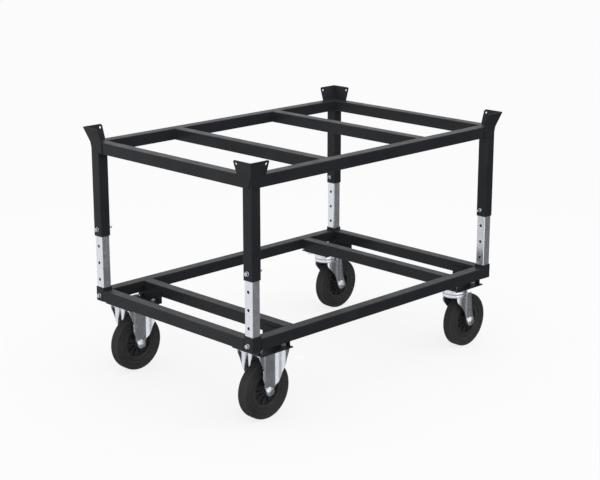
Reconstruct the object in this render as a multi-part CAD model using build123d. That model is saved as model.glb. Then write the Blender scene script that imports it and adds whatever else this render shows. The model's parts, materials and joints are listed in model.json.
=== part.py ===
from build123d import *
import os
from math import cos, radians, sin

# Height-adjustable pallet dolly. A wheeled lower frame carries four perforated legs; an upper frame
# with sleeves slides over them and is bolted at one of the leg holes. Folded guides at the upper
# corners centre a pallet. Units are millimetres, +Z is up and +X points to the swivel end. The
# functions below work from the middle of the frame on the floor; save() then moves the origin to
# the bottom centre of the whole dolly, because the swivel wheels trail past the frame's end.

# ---- driving dimensions ----
FRAME_LENGTH = 1200.0
FRAME_WIDTH = 800.0
TUBE = 40.0
TUBE_WALL = 2.0
TUBE_CORNER = 3.0
LEG_TUBE = 35.0
LEG_CORNER = 3.5
LEG_HOLE_R = 5.5
HOLE_PITCH = 60.0
LOWER_BOTTOM = 266.0
UPPER_BOTTOM = 795.0
SLEEVE_BOTTOM = 500.0
SOCKET_TOP = 316.0
LEG_TOP = 640.0
FIRST_HOLE = 344.0
LOWEST_BOLT = 286.0
HEIGHT_BOLT = 524.0
UPPER_BAR_X = 240.0
WHEEL_RADIUS = 100.0
WHEEL_WIDTH = 36.0
CASTER_X = 487.0
CASTER_Y = 330.0
SWIVEL_OFFSET = 55.0

# ---- worked out from them ----
LEG_X = FRAME_LENGTH / 2 - TUBE / 2
LEG_Y = FRAME_WIDTH / 2 - TUBE / 2
INNER_X = FRAME_LENGTH / 2 - TUBE
INNER_Y = FRAME_WIDTH / 2 - TUBE
LOWER_TOP = LOWER_BOTTOM + TUBE
UPPER_TOP = UPPER_BOTTOM + TUBE
LEG_HOLES = 5

# ---- caster bracket: a channel open towards both long sides ----
BRACKET_LENGTH = 140.0
BRACKET_PLATE = 4.0
BRACKET_BOTTOM = 243.0
BRACKET_TOP = 290.0
LOWER_BAR_X = INNER_X - BRACKET_LENGTH - TUBE / 2
BRACKET_X = INNER_X - BRACKET_LENGTH / 2
BRACKET_Y = FRAME_WIDTH / 2 - BRACKET_LENGTH / 2
BRACKET_WINDOW = 18.0
BRACKET_STEP = 14.0

# ---- casters ----
PLATE_X = 135.0
PLATE_Y = 110.0
PLATE_T = 3.5
PLATE_CORNER = 8.0
PLATE_TOP = BRACKET_BOTTOM
PLATE_BOTTOM = PLATE_TOP - PLATE_T
HOLE_SPACING_X = 105.0
HOLE_SPACING_Y = 80.0
PLATE_HOLE_R = 5.5
FORK_SHEET = 3.0
SWIVEL_SHEET = 3.5
RIGID_FLAT_Y = 32.0
SWIVEL_FLAT_Y = 33.0
BOSS_R = 14.0
BOSS_H = 2.5
AXLE_R = 6.0
RUNNING_CLEARANCE = 0.05
RACE_R = 46.0
RACE_BOTTOM = 218.0
CROWN_TOP = 216.5
CROWN_BOTTOM = 203.0
CROWN_FLOOR = 207.0
BALL_R = 3.4
BALL_CIRCLE_R = 35.0
BALLS = 14
HUB_R = 17.0
HUB_HALF = 28.0
BEARING_R = 10.0
TYRE_INNER_R = 66.0
POCKET_R = 51.0
RIM_RIBS = 10

# ---- corner guides ----
GUIDE_SHEET = 3.0
GUIDE_REACH = 62.0
GUIDE_DROP = 38.0
GUIDE_RISE = 48.0
GUIDE_LEAN = 15.4
GUIDE_CORNER = 8.0
GUIDE_HOLE_R = 4.0
GUIDE_HOLE_IN = 10.5
GUIDE_HOLE_DOWN = 11.0
GUIDE_NOTCH = 10.0
GUIDE_TOP_X = FRAME_LENGTH / 2 + GUIDE_SHEET + GUIDE_LEAN
BOX_MIDDLE_X = (CASTER_X + SWIVEL_OFFSET + WHEEL_RADIUS - GUIDE_TOP_X) / 2

# ---- fasteners ----
M8_R = 4.0
M8_HOLE_R = 4.3
M8_HEAD_R = 6.5
M8_HEAD_H = 8.0
M8_SOCKET_AF = 6.0
M8_WASHER_R = 8.0
M8_WASHER_T = 1.6
SOCKET_BOLT_LENGTH = 16.0
HEIGHT_BOLT_LENGTH = 60.0
M8_NUT_AF = 13.0
M8_NUT_H = 6.5
M10_R = 5.0
M10_NUT_AF = 17.0
M10_HEAD_H = 6.4
M10_NUT_H = 8.0
M12_NUT_AF = 19.0
M12_HEAD_H = 7.5
M12_NUT_H = 10.0

CORNERS = {
    "rear_right": (-1, -1),
    "rear_left": (-1, 1),
    "front_right": (1, -1),
    "front_left": (1, 1),
}
SIDES = {"right": -1, "left": 1}
ENDS = {"rear": -1, "front": 1}


def save(solids, node):
    """Write one node's STEP file in the row's frame; a list becomes a group of separate solids."""
    pieces = solids if isinstance(solids, list) else [solids]
    moved = [Pos(-BOX_MIDDLE_X, 0, 0) * piece for piece in pieces]
    shape = Compound(children=moved) if len(moved) > 1 else moved[0]
    export_step(shape, f"parts/{node}.step")


def along_x(shape):
    """Turn a shape built along +Z so that it runs along +X."""
    return Rot(0, 90, 0) * shape


def along_y(shape):
    """Turn a shape built along +Z so that it runs along +Y."""
    return Rot(-90, 0, 0) * shape


def square_tube(length, side=TUBE, wall=TUBE_WALL, corner=TUBE_CORNER):
    """Square hollow section standing on the XY plane."""
    outer = RectangleRounded(side, side, corner)
    inner = RectangleRounded(side - 2 * wall, side - 2 * wall, corner - wall + 0.5)
    return extrude(outer - inner, length)


def rail_x(x0, x1, y, z_bottom):
    """Frame tube along X between x0 and x1, centred on y."""
    return Pos(x0, y, z_bottom + TUBE / 2) * along_x(square_tube(x1 - x0))


def rail_y(y0, y1, x, z_bottom):
    """Frame tube along Y between y0 and y1, centred on x."""
    return Pos(x, y0, z_bottom + TUBE / 2) * along_y(square_tube(y1 - y0))


def hex_prism(across_flats, height):
    """Hexagon with chamfered corners, as on a nut or a bolt head, standing on the XY plane."""
    prism = extrude(RegularPolygon(across_flats / 2, 6, major_radius=False), height)
    corner = across_flats / 2 / cos(radians(30))
    trim = Pos(0, 0, height / 2) * Cylinder(corner - 0.2, height)
    return prism & chamfer(trim.edges(), 0.8)


def nut(across_flats, height, hole_r):
    """Hexagon nut with its bore, standing on the XY plane."""
    return hex_prism(across_flats, height) - Pos(0, 0, height / 2) * Cylinder(hole_r, height * 2)


def cap_screw(length):
    """M8 socket-head screw over a flat washer that lies on the XY plane; the shank hangs down."""
    head = extrude(Circle(M8_HEAD_R), M8_HEAD_H)
    head = chamfer(head.edges().group_by(Axis.Z)[-1], 0.7)
    depth = M8_HEAD_H / 2
    socket = extrude(RegularPolygon(M8_SOCKET_AF / 2, 6, major_radius=False), depth + 1)
    head -= Pos(0, 0, M8_HEAD_H - depth) * socket
    shank = Pos(0, 0, -(length - M8_WASHER_T) / 2) * Cylinder(M8_R, length + M8_WASHER_T)
    return Pos(0, 0, M8_WASHER_T) * head + shank


def flat_washer():
    """M8 washer lying on the XY plane."""
    return extrude(Circle(M8_WASHER_R) - Circle(M8_HOLE_R), M8_WASHER_T)


def hex_bolt(shank_r, length, across_flats, head_h):
    """Hexagon bolt: the head above the XY plane, the shank hanging below it."""
    return hex_prism(across_flats, head_h) + Pos(0, 0, -length / 2) * Cylinder(shank_r, length)


# ---- frames ----
def inner_leg(sx, sy):
    """Perforated leg tube: adjustment holes through both X walls, bolt hole at the foot."""
    bottom = LOWER_BOTTOM + 3.0
    leg = Pos(sx * LEG_X, sy * LEG_Y, bottom) * square_tube(LEG_TOP - bottom, LEG_TUBE, 2.0, LEG_CORNER)
    for n in range(LEG_HOLES):
        z = FIRST_HOLE + n * HOLE_PITCH
        leg -= Pos(sx * LEG_X, sy * LEG_Y, z) * along_x(Cylinder(LEG_HOLE_R, TUBE))
    foot_hole = along_x(Cylinder(M8_HOLE_R, LEG_TUBE / 2))
    return leg - Pos(sx * (LEG_X + LEG_TUBE / 2), sy * LEG_Y, LOWEST_BOLT) * foot_hole


def corner_socket(sx, sy):
    """Short tube at a lower corner that takes the foot of a leg, with a floor plate."""
    tube = square_tube(SOCKET_TOP - LOWER_BOTTOM)
    floor = extrude(RectangleRounded(TUBE - 2 * TUBE_WALL, TUBE - 2 * TUBE_WALL, 1.5), 3.0)
    hole = Pos(sx * TUBE / 2, 0, LOWEST_BOLT - LOWER_BOTTOM) * along_x(Cylinder(M8_HOLE_R, TUBE / 2))
    return Pos(sx * LEG_X, sy * LEG_Y, LOWER_BOTTOM) * (tube + floor - hole)


def sleeve_leg(sx, sy):
    """Upper leg tube that slides over the perforated leg, bolted through near its lower end."""
    height = UPPER_TOP - 3.0 - SLEEVE_BOTTOM
    sleeve = Pos(sx * LEG_X, sy * LEG_Y, SLEEVE_BOTTOM) * square_tube(height)
    return sleeve - Pos(sx * LEG_X, sy * LEG_Y, HEIGHT_BOLT) * along_x(Cylinder(M8_HOLE_R, 2 * TUBE))


def sleeve_cap(sx, sy):
    """Welded plate that closes the top of a sleeve, level with the rails."""
    cap = extrude(RectangleRounded(TUBE, TUBE, TUBE_CORNER), 3.0)
    return Pos(sx * LEG_X, sy * LEG_Y, UPPER_TOP - 3.0) * cap


def guide_flange():
    """Half of a corner guide: a strip on the rail's face that leans outwards above the rail.

    Local frame: the corner is at the origin, level with the rail's top, the rail's face is the
    plane x = 0 and the outside is towards -X and -Y.
    """
    section = Polyline(
        (0, -GUIDE_DROP),
        (0, 0),
        (-GUIDE_LEAN, GUIDE_RISE),
        (-GUIDE_LEAN - GUIDE_SHEET, GUIDE_RISE),
        (-GUIDE_SHEET, 0),
        (-GUIDE_SHEET, -GUIDE_DROP),
        close=True,
    )
    strip = extrude(Plane.XZ * make_face(section), amount=-GUIDE_REACH)
    strip += extrude(Plane.XZ * make_face(section), amount=2 * GUIDE_LEAN)
    mitre = Polyline((-60, -60), (60, 60), (60, 90), (-60, 90), close=True)
    strip &= Pos(0, 0, -GUIDE_DROP) * extrude(make_face(mitre), GUIDE_DROP + GUIDE_RISE)
    outline = Pos(GUIDE_REACH - 50, GUIDE_RISE - 50) * RectangleRounded(100, 100, GUIDE_CORNER)
    outline += Pos(GUIDE_REACH - 50, -GUIDE_DROP + 25) * RectangleRounded(100, 50, 3)
    strip &= extrude(Plane.YZ * outline, 60, both=True)
    notch = Polyline(
        (-30, -2), (0, -2), (GUIDE_NOTCH, -GUIDE_DROP - 1), (-30, -GUIDE_DROP - 1), close=True
    )
    strip -= extrude(Plane.YZ * make_face(notch), 10, both=True)
    rise = GUIDE_RISE - GUIDE_HOLE_DOWN
    at = Plane(
        origin=(-GUIDE_LEAN * rise / GUIDE_RISE, GUIDE_REACH - GUIDE_HOLE_IN, rise),
        x_dir=(0, 1, 0),
        z_dir=(GUIDE_RISE, 0, GUIDE_LEAN),
    )
    return strip - at * Cylinder(GUIDE_HOLE_R, 4 * GUIDE_SHEET)


def corner_guide(sx, sy):
    """Folded guide round an upper corner, made of two mitred flanges."""
    half = guide_flange()
    diagonal = Plane(origin=(0, 0, 0), x_dir=(0, 0, 1), z_dir=(1, -1, 0))
    guide = half + mirror(half, diagonal)
    if sx > 0:
        guide = mirror(guide, Plane.YZ)
    if sy > 0:
        guide = mirror(guide, Plane.XZ)
    return Pos(sx * FRAME_LENGTH / 2, sy * FRAME_WIDTH / 2, UPPER_TOP) * guide


def caster_bracket(sx, sy):
    """Channel between end rail and cross rail: a web for the caster plate, two stepped flanges."""
    plan = Pos(BRACKET_X, BRACKET_Y, BRACKET_BOTTOM)
    web = plan * extrude(Rectangle(BRACKET_LENGTH, BRACKET_LENGTH), BRACKET_PLATE)
    inner_end = BRACKET_Y - BRACKET_LENGTH / 2
    outer_end = BRACKET_Y + BRACKET_LENGTH / 2
    side = Polyline(
        (inner_end, BRACKET_BOTTOM),
        (outer_end - BRACKET_STEP, BRACKET_BOTTOM),
        (outer_end - BRACKET_STEP, LOWER_BOTTOM),
        (INNER_Y, LOWER_BOTTOM),
        (INNER_Y, BRACKET_TOP),
        (inner_end, BRACKET_TOP),
        close=True,
    )
    flange = extrude(Plane.YZ * make_face(side), BRACKET_PLATE)
    first = BRACKET_X - BRACKET_LENGTH / 2
    bracket = web + Pos(first, 0, 0) * flange
    bracket += Pos(first + BRACKET_LENGTH - BRACKET_PLATE, 0, 0) * flange
    bracket -= plan * Cylinder(BRACKET_WINDOW, 4 * BRACKET_PLATE)
    for x, y in caster_holes(1, 1):
        bracket -= Pos(x, y, BRACKET_BOTTOM) * Cylinder(PLATE_HOLE_R, 4 * BRACKET_PLATE)
    if sx < 0:
        bracket = mirror(bracket, Plane.YZ)
    if sy < 0:
        bracket = mirror(bracket, Plane.XZ)
    return bracket


# ---- casters ----
def caster_holes(sx, sy):
    """Centres of a caster plate's four bolts."""
    return [
        (sx * CASTER_X + i * HOLE_SPACING_X / 2, sy * CASTER_Y + j * HOLE_SPACING_Y / 2)
        for i in (-1, 1)
        for j in (-1, 1)
    ]


def mounting_plate():
    """Caster top plate with its four bolt holes, centred on the origin with its top at Z = 0."""
    plate = Pos(0, 0, -PLATE_T) * extrude(RectangleRounded(PLATE_X, PLATE_Y, PLATE_CORNER), PLATE_T)
    for x, y in caster_holes(0, 0):
        plate -= Pos(x, y, 0) * Cylinder(PLATE_HOLE_R, 4 * PLATE_T)
    return plate


def sheet_leg(path, thickness, outline, axle_x, flat_y):
    """Pressed fork leg on the +Y side: a sheet that follows path in plan, trimmed to a side outline.

    path is the outer surface from -X to +X, outline is drawn in X and Z and a raised boss stands
    on the flat at flat_y round the axle.
    """
    top = PLATE_TOP
    with BuildSketch() as plan:
        with BuildLine():
            FilletPolyline(*path, radius=3.0)
            offset(amount=thickness, side=Side.RIGHT)
        make_face()
    sheet = extrude(plan.sketch, top)
    sheet &= extrude(Plane.XZ * outline, amount=-100)
    boss = Pos(axle_x, flat_y + BOSS_H / 2, WHEEL_RADIUS) * along_y(Cylinder(BOSS_R, BOSS_H))
    boss = chamfer(boss.edges().group_by(Axis.Y)[-1], BOSS_H * 0.6)
    bore = Pos(axle_x, flat_y, WHEEL_RADIUS) * along_y(Cylinder(AXLE_R + 0.1, 40))
    return sheet + boss - bore


def rigid_fork(sy):
    """Fixed caster housing: a top plate with two corrugated legs that taper to the axle."""
    rim = [(23, 0), (29, 9), (41, 14), (47, 22), (70, 22)]
    path = [(-x, RIGID_FLAT_Y + y) for x, y in reversed(rim)]
    path += [(x, RIGID_FLAT_Y + y) for x, y in rim]
    edge = [(PLATE_X / 2 - 1, PLATE_BOTTOM + 1), (57, 212), (46, 178), (36, 142), (24, 116), (17, 100)]
    with BuildSketch() as side:
        with BuildLine():
            right = Spline(*edge)
            left = Spline(*[(-x, z) for x, z in edge])
            Line(right @ 0, left @ 0)
            Line(right @ 1, left @ 1)
        make_face()
        with Locations((0, WHEEL_RADIUS)):
            Circle(17.5)
    leg = sheet_leg(path, FORK_SHEET, side.sketch, 0, RIGID_FLAT_Y)
    fork = Pos(0, 0, PLATE_TOP) * mounting_plate() + leg + mirror(leg, Plane.XZ)
    return Pos(-CASTER_X, sy * CASTER_Y, 0) * fork


def swivel_top_plate(sy):
    """Plate of a swivel caster with the upper ball race under it."""
    section = Polyline(
        (30, PLATE_BOTTOM + 0.5),
        (30, 214.6),
        (40, 214.6),
        (40, RACE_BOTTOM),
        (RACE_R, RACE_BOTTOM),
        (RACE_R, 229),
        (41, PLATE_BOTTOM),
        (41, PLATE_BOTTOM + 0.5),
        close=True,
    )
    race = revolve(Plane.XZ * make_face(section), Axis.Z)
    plate = Pos(0, 0, PLATE_TOP) * mounting_plate() + race
    plate -= Pos(0, 0, PLATE_TOP) * Cylinder(AXLE_R + 0.02, 4 * PLATE_T)
    return Pos(CASTER_X, sy * CASTER_Y, 0) * plate


def swivel_balls(sy):
    """Balls of one swivel head, on their circle in the lower race."""
    z = CROWN_FLOOR + BALL_R + 0.2
    step = 360 / BALLS
    return [
        Pos(
            CASTER_X + BALL_CIRCLE_R * cos(radians(n * step)),
            sy * CASTER_Y + BALL_CIRCLE_R * sin(radians(n * step)),
            z,
        )
        * Sphere(BALL_R)
        for n in range(BALLS)
    ]


def king_pin(sy):
    """Pin that holds the fork crown under the plate, with a round head below."""
    head_top = CROWN_BOTTOM - 0.5
    head = Pos(0, 0, head_top - 5) * extrude(Circle(11), 5)
    head = chamfer(head.edges().group_by(Axis.Z)[0], 1.5)
    shank = Pos(0, 0, head_top) * extrude(Circle(AXLE_R), PLATE_TOP - head_top)
    return Pos(CASTER_X, sy * CASTER_Y, 0) * (head + shank)


def swivel_fork(sy):
    """Swivel caster housing: a bowl that carries the balls and two legs raked back to the axle."""
    section = Polyline(
        (AXLE_R + RUNNING_CLEARANCE, CROWN_BOTTOM),
        (41.5, CROWN_BOTTOM),
        (RACE_R, CROWN_BOTTOM + 5),
        (RACE_R, CROWN_TOP),
        (RACE_R - 4, CROWN_TOP),
        (RACE_R - 4, CROWN_FLOOR),
        (AXLE_R + RUNNING_CLEARANCE, CROWN_FLOOR),
        close=True,
    )
    crown = revolve(Plane.XZ * make_face(section), Axis.Z)
    path = [(-38, 25), (-30, 34), (-14, 41.5), (4, 41), (26, 36)]
    path += [(38, SWIVEL_FLAT_Y), (80, SWIVEL_FLAT_Y)]
    front = [(-29, CROWN_FLOOR), (-27, 186), (-8.5, 167), (15, 141), (29.5, 114), (36, WHEEL_RADIUS)]
    back = [(54, 212), (58, 165), (64, 130), (SWIVEL_OFFSET + 19, WHEEL_RADIUS)]
    with BuildSketch() as side:
        with BuildLine():
            left = Spline(*front)
            right = Spline(*back)
            Polyline(left @ 0, (-29, 212), right @ 0)
            Line(left @ 1, right @ 1)
        make_face()
        with Locations((SWIVEL_OFFSET, WHEEL_RADIUS)):
            Circle(19.2)
    leg = sheet_leg(path, SWIVEL_SHEET, side.sketch, SWIVEL_OFFSET, SWIVEL_FLAT_Y)
    leg -= Pos(0, 0, CROWN_FLOOR + 10) * Cylinder(RACE_R + 0.5, 20)
    fork = crown + leg + mirror(leg, Plane.XZ)
    return Pos(CASTER_X, sy * CASTER_Y, 0) * fork


def axle_bolt(x, y, flat_y, outward):
    """Axle bolt along Y through bosses on the flats at flat_y, its head on the outward side."""
    face = flat_y + BOSS_H
    bolt = hex_bolt(AXLE_R, 2 * face + M12_NUT_H + 3, M12_NUT_AF, M12_HEAD_H)
    bolt = Pos(0, face, 0) * along_y(bolt)
    if outward < 0:
        bolt = mirror(bolt, Plane.XZ)
    return Pos(x, y, WHEEL_RADIUS) * bolt


def axle_nut(x, y, flat_y, outward):
    """Axle nut on the side away from the bolt's head."""
    face = flat_y + BOSS_H
    piece = Pos(0, face, 0) * along_y(nut(M12_NUT_AF, M12_NUT_H, AXLE_R + 0.02))
    if outward > 0:
        piece = mirror(piece, Plane.XZ)
    return Pos(x, y, WHEEL_RADIUS) * piece


def tyre(x, y):
    """Solid rubber tyre with a slightly crowned tread and two shallow grooves in each side wall."""
    half = WHEEL_WIDTH / 2
    with BuildSketch(Plane.YZ) as section:
        with BuildLine():
            tread = ThreePointArc(
                (half - 4.0, WHEEL_RADIUS - 0.5), (0, WHEEL_RADIUS), (-half + 4.0, WHEEL_RADIUS - 0.5)
            )
            Polyline(
                tread @ 1,
                (-half + 0.8, WHEEL_RADIUS - 2.4),
                (-half, WHEEL_RADIUS - 6),
                (-half, 84),
                (-half + 1.2, 82),
                (-half + 1.2, 80),
                (-half, 78),
                (-half + 0.5, 70),
                (-half + 2, TYRE_INNER_R + 0.05),
                (half - 2, TYRE_INNER_R + 0.05),
                (half - 0.5, 70),
                (half, 78),
                (half - 1.2, 80),
                (half - 1.2, 82),
                (half, 84),
                (half, WHEEL_RADIUS - 6),
                (half - 0.8, WHEEL_RADIUS - 2.4),
                tread @ 0,
            )
        make_face()
    return Pos(x, y, WHEEL_RADIUS) * revolve(section.sketch, Axis.Y)


def rim(x, y):
    """Plastic wheel centre: hub, thin web, tyre seat and radial ribs on both sides."""
    half = WHEEL_WIDTH / 2
    section = Polyline(
        (BEARING_R, HUB_HALF),
        (HUB_R, HUB_HALF),
        (HUB_R + 1.5, 3),
        (POCKET_R - 1, 3),
        (POCKET_R, half - 2),
        (TYRE_INNER_R, half - 2),
        (TYRE_INNER_R, 2 - half),
        (POCKET_R, 2 - half),
        (POCKET_R - 1, -3),
        (HUB_R + 1.5, -3),
        (HUB_R, -HUB_HALF),
        (BEARING_R, -HUB_HALF),
        close=True,
    )
    body = revolve(Rot(0, 0, 0) * make_face(section), Axis.Y)
    rib_side = [(HUB_R - 1, 22), (POCKET_R, half - 3), (POCKET_R, 3 - half), (HUB_R - 1, -22)]
    rib = Polyline(*rib_side, close=True)
    rib = extrude(make_face(rib), 2.0, both=True)
    for n in range(RIM_RIBS):
        body += Rot(0, n * 360 / RIM_RIBS, 0) * rib
    return Pos(x, y, WHEEL_RADIUS) * body


def roller_bearing(x, y):
    """Plain cage sleeve between hub and axle bolt."""
    ring = Circle(BEARING_R - 0.02) - Circle(AXLE_R + RUNNING_CLEARANCE)
    return Pos(x, y - HUB_HALF, WHEEL_RADIUS) * along_y(extrude(ring, 2 * HUB_HALF))


def side_screw(sx, sy, z, length):
    """Screw and washer on the outer X face of a corner post, pointing at the frame's middle."""
    pieces = [along_x(cap_screw(length)), along_x(flat_washer())]
    if sx < 0:
        pieces = [mirror(piece, Plane.YZ) for piece in pieces]
    return [Pos(sx * FRAME_LENGTH / 2, sy * LEG_Y, z) * piece for piece in pieces]


def socket_nut(sx, sy):
    """Nut inside the foot of a leg."""
    inner_wall = LEG_X + LEG_TUBE / 2 - 2.0
    piece = along_x(nut(M8_NUT_AF, M8_NUT_H, M8_R + 0.02))
    if sx > 0:
        piece = mirror(piece, Plane.YZ)
    return Pos(sx * inner_wall, sy * LEG_Y, LOWEST_BOLT) * piece


def height_nut(sx, sy):
    """Nut on the inner side of a sleeve."""
    piece = along_x(nut(M8_NUT_AF, M8_NUT_H, M8_R + 0.02))
    if sx > 0:
        piece = mirror(piece, Plane.YZ)
    return Pos(sx * INNER_X, sy * LEG_Y, HEIGHT_BOLT) * piece


def caster_bolts(sx, sy):
    """Four bolts pushed up through a caster plate and the bracket's web."""
    length = PLATE_T + BRACKET_PLATE + M10_NUT_H + 2
    bolt = mirror(hex_bolt(M10_R, length, M10_NUT_AF, M10_HEAD_H), Plane.XY)
    return [Pos(x, y, PLATE_BOTTOM) * bolt for x, y in caster_holes(sx, sy)]


def caster_nuts(sx, sy):
    """Four nuts on top of the bracket's web."""
    piece = nut(M10_NUT_AF, M10_NUT_H, M10_R + 0.02)
    return [Pos(x, y, BRACKET_BOTTOM + BRACKET_PLATE) * piece for x, y in caster_holes(sx, sy)]


def build_lower_frame():
    """Write the welded lower frame, its legs and its screws."""
    for name, sy in SIDES.items():
        save(rail_x(-INNER_X, INNER_X, sy * LEG_Y, LOWER_BOTTOM), f"lower_side_rail_{name}")
    for name, sx in ENDS.items():
        save(rail_y(-INNER_Y, INNER_Y, sx * LEG_X, LOWER_BOTTOM), f"lower_end_rail_{name}")
        save(rail_y(-INNER_Y, INNER_Y, sx * LOWER_BAR_X, LOWER_BOTTOM), f"lower_cross_rail_{name}")
    for name, (sx, sy) in CORNERS.items():
        save(inner_leg(sx, sy), f"inner_leg_{name}")
    places = CORNERS.values()
    save([corner_socket(sx, sy) for sx, sy in places], "corner_sockets")
    save([caster_bracket(sx, sy) for sx, sy in places], "caster_brackets")
    screws = [side_screw(sx, sy, LOWEST_BOLT, SOCKET_BOLT_LENGTH) for sx, sy in places]
    save([piece for pair in screws for piece in pair], "socket_bolts")
    save([socket_nut(sx, sy) for sx, sy in places], "socket_nuts")
    save([bolt for sx, sy in places for bolt in caster_bolts(sx, sy)], "caster_bolts")
    save([piece for sx, sy in places for piece in caster_nuts(sx, sy)], "caster_nuts")


def build_upper_frame():
    """Write the sliding upper frame, its guides and the bolts that set its height."""
    for name, sy in SIDES.items():
        save(rail_x(-INNER_X, INNER_X, sy * LEG_Y, UPPER_BOTTOM), f"upper_side_rail_{name}")
    for name, sx in ENDS.items():
        save(rail_y(-INNER_Y, INNER_Y, sx * LEG_X, UPPER_BOTTOM), f"upper_end_rail_{name}")
        save(rail_y(-INNER_Y, INNER_Y, sx * UPPER_BAR_X, UPPER_BOTTOM), f"upper_cross_bar_{name}")
    for name, (sx, sy) in CORNERS.items():
        save(sleeve_leg(sx, sy), f"sleeve_leg_{name}")
        save(corner_guide(sx, sy), f"corner_guide_{name}")
    places = CORNERS.values()
    save([sleeve_cap(sx, sy) for sx, sy in places], "sleeve_caps")
    screws = [side_screw(sx, sy, HEIGHT_BOLT, HEIGHT_BOLT_LENGTH) for sx, sy in places]
    save([piece for pair in screws for piece in pair], "height_bolts")
    save([height_nut(sx, sy) for sx, sy in places], "height_nuts")


def build_casters():
    """Write the rigid casters at the rear, the swivel casters at the front and all four wheels."""
    sides = SIDES.values()
    bolts = [axle_bolt(-CASTER_X, sy * CASTER_Y, RIGID_FLAT_Y, sy) for sy in sides]
    nuts = [axle_nut(-CASTER_X, sy * CASTER_Y, RIGID_FLAT_Y, sy) for sy in sides]
    save(bolts, "rigid_axle_bolts")
    save(nuts, "rigid_axle_nuts")
    save([ball for sy in sides for ball in swivel_balls(sy)], "swivel_balls")
    save([king_pin(sy) for sy in sides], "king_pins")
    for name, sy in SIDES.items():
        save(rigid_fork(sy), f"rigid_fork_{name}")
        save(swivel_top_plate(sy), f"swivel_top_plate_{name}")
        save(swivel_fork(sy), f"swivel_fork_{name}")
        wheel_x = CASTER_X + SWIVEL_OFFSET
        wheel_y = sy * CASTER_Y
        save(axle_bolt(wheel_x, wheel_y, SWIVEL_FLAT_Y, sy), f"swivel_axle_bolt_{name}")
        save(axle_nut(wheel_x, wheel_y, SWIVEL_FLAT_Y, sy), f"swivel_axle_nut_{name}")
        for end, x in (("rear", -CASTER_X), ("front", wheel_x)):
            save(tyre(x, wheel_y), f"tyre_{end}_{name}")
            save(rim(x, wheel_y), f"rim_{end}_{name}")
            save(roller_bearing(x, wheel_y), f"roller_bearing_{end}_{name}")


os.makedirs("parts", exist_ok=True)
build_lower_frame()
build_upper_frame()
build_casters()
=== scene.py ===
"""Height-adjustable pallet dolly, dressed for rendering.

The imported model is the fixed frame. Rails, caps, screws, nuts, balls, pins and bearings keep their
shapes and get worked-out finishes. Legs, sleeves, sockets, brackets and corner guides are copies of
theirs with rounded edges. Tyres, wheel centres and caster housings are new surfaces, and weld beads
are laid along the tube joints. Lengths in this file are in millimetres until a mesh is made, +X
points to the swivel end and +Z is up.
"""

import json
import logging
from collections.abc import Callable
from dataclasses import dataclass, field
from enum import Enum
from math import cos, radians, sin

import bmesh
import bpy
import numpy as np
from mathutils import Matrix, Vector

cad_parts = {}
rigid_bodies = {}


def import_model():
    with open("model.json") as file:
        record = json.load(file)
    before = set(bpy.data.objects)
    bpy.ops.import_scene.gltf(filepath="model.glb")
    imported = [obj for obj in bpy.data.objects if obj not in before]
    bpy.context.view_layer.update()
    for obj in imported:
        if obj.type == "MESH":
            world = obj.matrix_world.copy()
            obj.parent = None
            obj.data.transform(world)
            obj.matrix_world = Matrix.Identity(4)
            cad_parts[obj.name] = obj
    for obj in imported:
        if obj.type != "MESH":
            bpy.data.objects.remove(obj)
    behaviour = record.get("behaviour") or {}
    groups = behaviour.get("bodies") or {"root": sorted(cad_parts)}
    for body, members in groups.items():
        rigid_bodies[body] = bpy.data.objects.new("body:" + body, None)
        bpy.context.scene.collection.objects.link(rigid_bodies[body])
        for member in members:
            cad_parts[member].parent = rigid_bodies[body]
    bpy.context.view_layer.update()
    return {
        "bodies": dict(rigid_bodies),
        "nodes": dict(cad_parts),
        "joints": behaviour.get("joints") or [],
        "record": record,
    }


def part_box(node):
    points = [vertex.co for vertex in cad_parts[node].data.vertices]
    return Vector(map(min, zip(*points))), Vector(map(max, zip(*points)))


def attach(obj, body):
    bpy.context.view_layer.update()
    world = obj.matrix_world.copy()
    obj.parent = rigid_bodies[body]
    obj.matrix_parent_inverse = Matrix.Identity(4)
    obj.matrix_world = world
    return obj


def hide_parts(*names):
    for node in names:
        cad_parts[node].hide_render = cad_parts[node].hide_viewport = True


LOG = logging.getLogger("pallet_dolly")
MM = 0.001
TAU = 2 * np.pi

JOIN_DISTANCE = 2e-6
SLIVER_LENGTH = 1e-6
FLAT_ANGLE = radians(0.5)
BEVEL_STEPS = 2
MIRROR_SECOND = np.array([1, -1])

Array = np.ndarray
Colour = tuple[float, float, float]
Section = tuple[tuple[float, float], ...]


# ---------------------------------------------------------------- surfaces
def smooth_step(t: Array) -> Array:
    """Ease from 0 to 1: three t squared minus two t cubed, with t held between 0 and 1.

    Args:
        t: Where along the ramp each point is.

    Returns:
        The eased values.
    """
    t = np.clip(t, 0.0, 1.0)
    return t * t * (3 - 2 * t)


def blurred_line(knots: Section, x: Array, blur: float) -> Array:
    """Straight runs between knots, with each corner rounded.

    The line is averaged over a window of 2 * blur centred on x, so a corner becomes a parabola
    that long.

    Args:
        knots: Corner points (x, value), in rising x.
        x: Where the line is wanted.
        blur: Half the length of each rounded corner.

    Returns:
        The line's values at x.
    """
    kx, ky = np.array(knots, float).T
    samples = 17
    window = np.linspace(-blur, blur, samples)
    return np.interp(x[..., None] + window, kx, ky).mean(axis=-1)


def run_length(points: Array) -> Array:
    """Length run along a polyline up to each of its points: the sum of the steps before it."""
    steps = np.linalg.norm(np.diff(points, axis=0), axis=1)
    return np.concatenate([[0.0], np.cumsum(steps)])


def resampled(points: Array, count: int) -> Array:
    """A polyline's points moved to equal steps along its length, by linear interpolation.

    Args:
        points: The polyline, one row per point.
        count: How many points are wanted.

    Returns:
        The new points.
    """
    run = run_length(points)
    at = np.linspace(0.0, run[-1], count)
    return np.stack([np.interp(at, run, column) for column in points.T], axis=1)


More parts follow.
